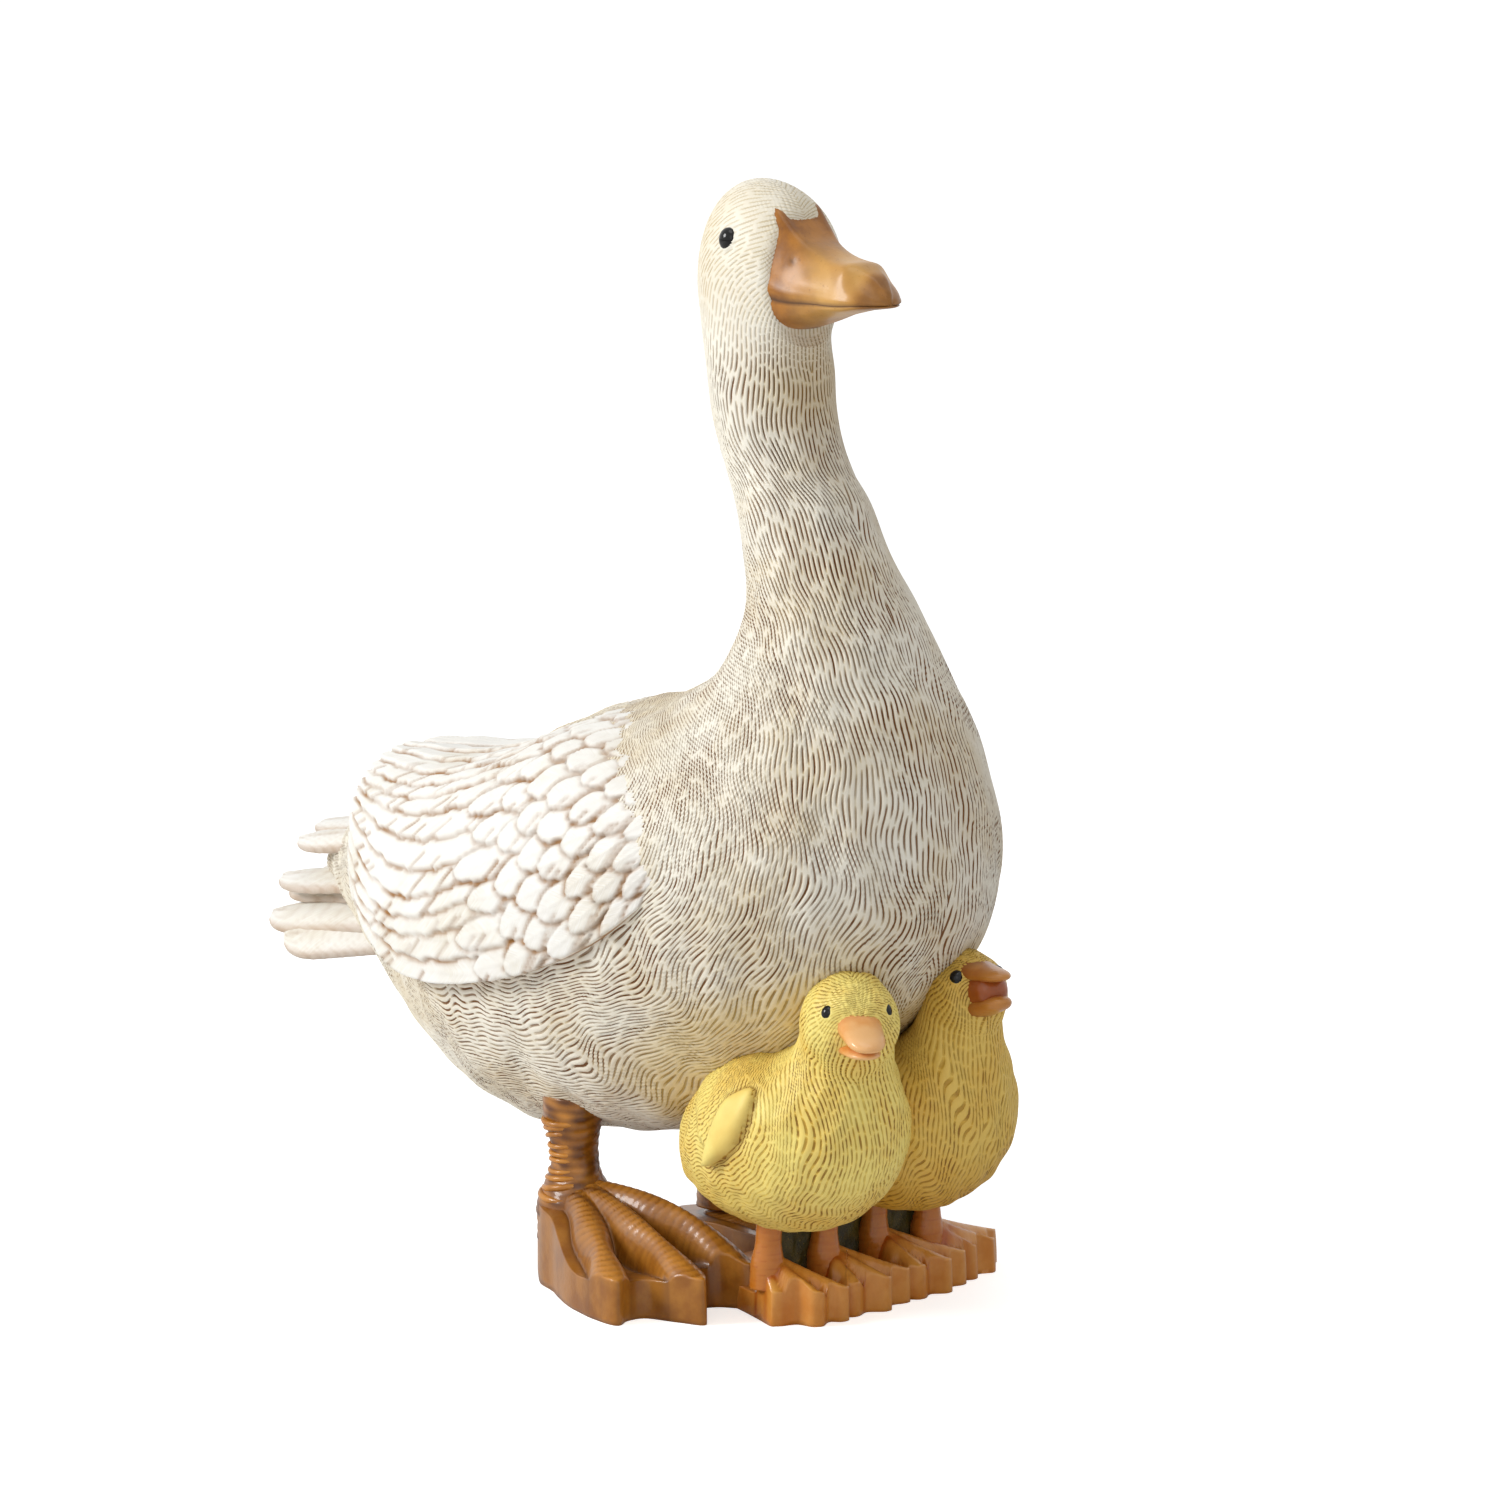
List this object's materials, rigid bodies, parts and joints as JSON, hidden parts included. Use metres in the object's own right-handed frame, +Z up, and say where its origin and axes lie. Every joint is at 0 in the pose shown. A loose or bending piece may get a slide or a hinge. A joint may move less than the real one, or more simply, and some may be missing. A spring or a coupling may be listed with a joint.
{
  "type": "duck garden figure",
  "caption": "Painted cast garden figure of a standing white duck on webbed feet with ducklings pressed to its breast, flat underside to stand on.",
  "frame": {"origin": "middle of the figure's ground plan, on the ground that the feet stand on", "axes": "+X is the way the duck faces, +Y is its left side, +Z is up"},
  "size_m": [0.3488, 0.1772, 0.4116],
  "materials": {
    "plumage": "matt cream-white paint with a warm brown wash left in the carved strokes",
    "bill": "satin orange-brown paint, paler to the tip",
    "foot": "glossy caramel-brown glaze over the legs and the webbed feet",
    "down": "satin yellow paint with mustard in the carved strokes",
    "duckling_foot": "glossy orange fading to peach at the toes",
    "ground": "dark olive-green paint in the recesses between the legs",
    "eye": "gloss black"
  },
  "bodies": {
    "root": {"duck_garden_figure": "plumage"}
  },
  "joints": []
}
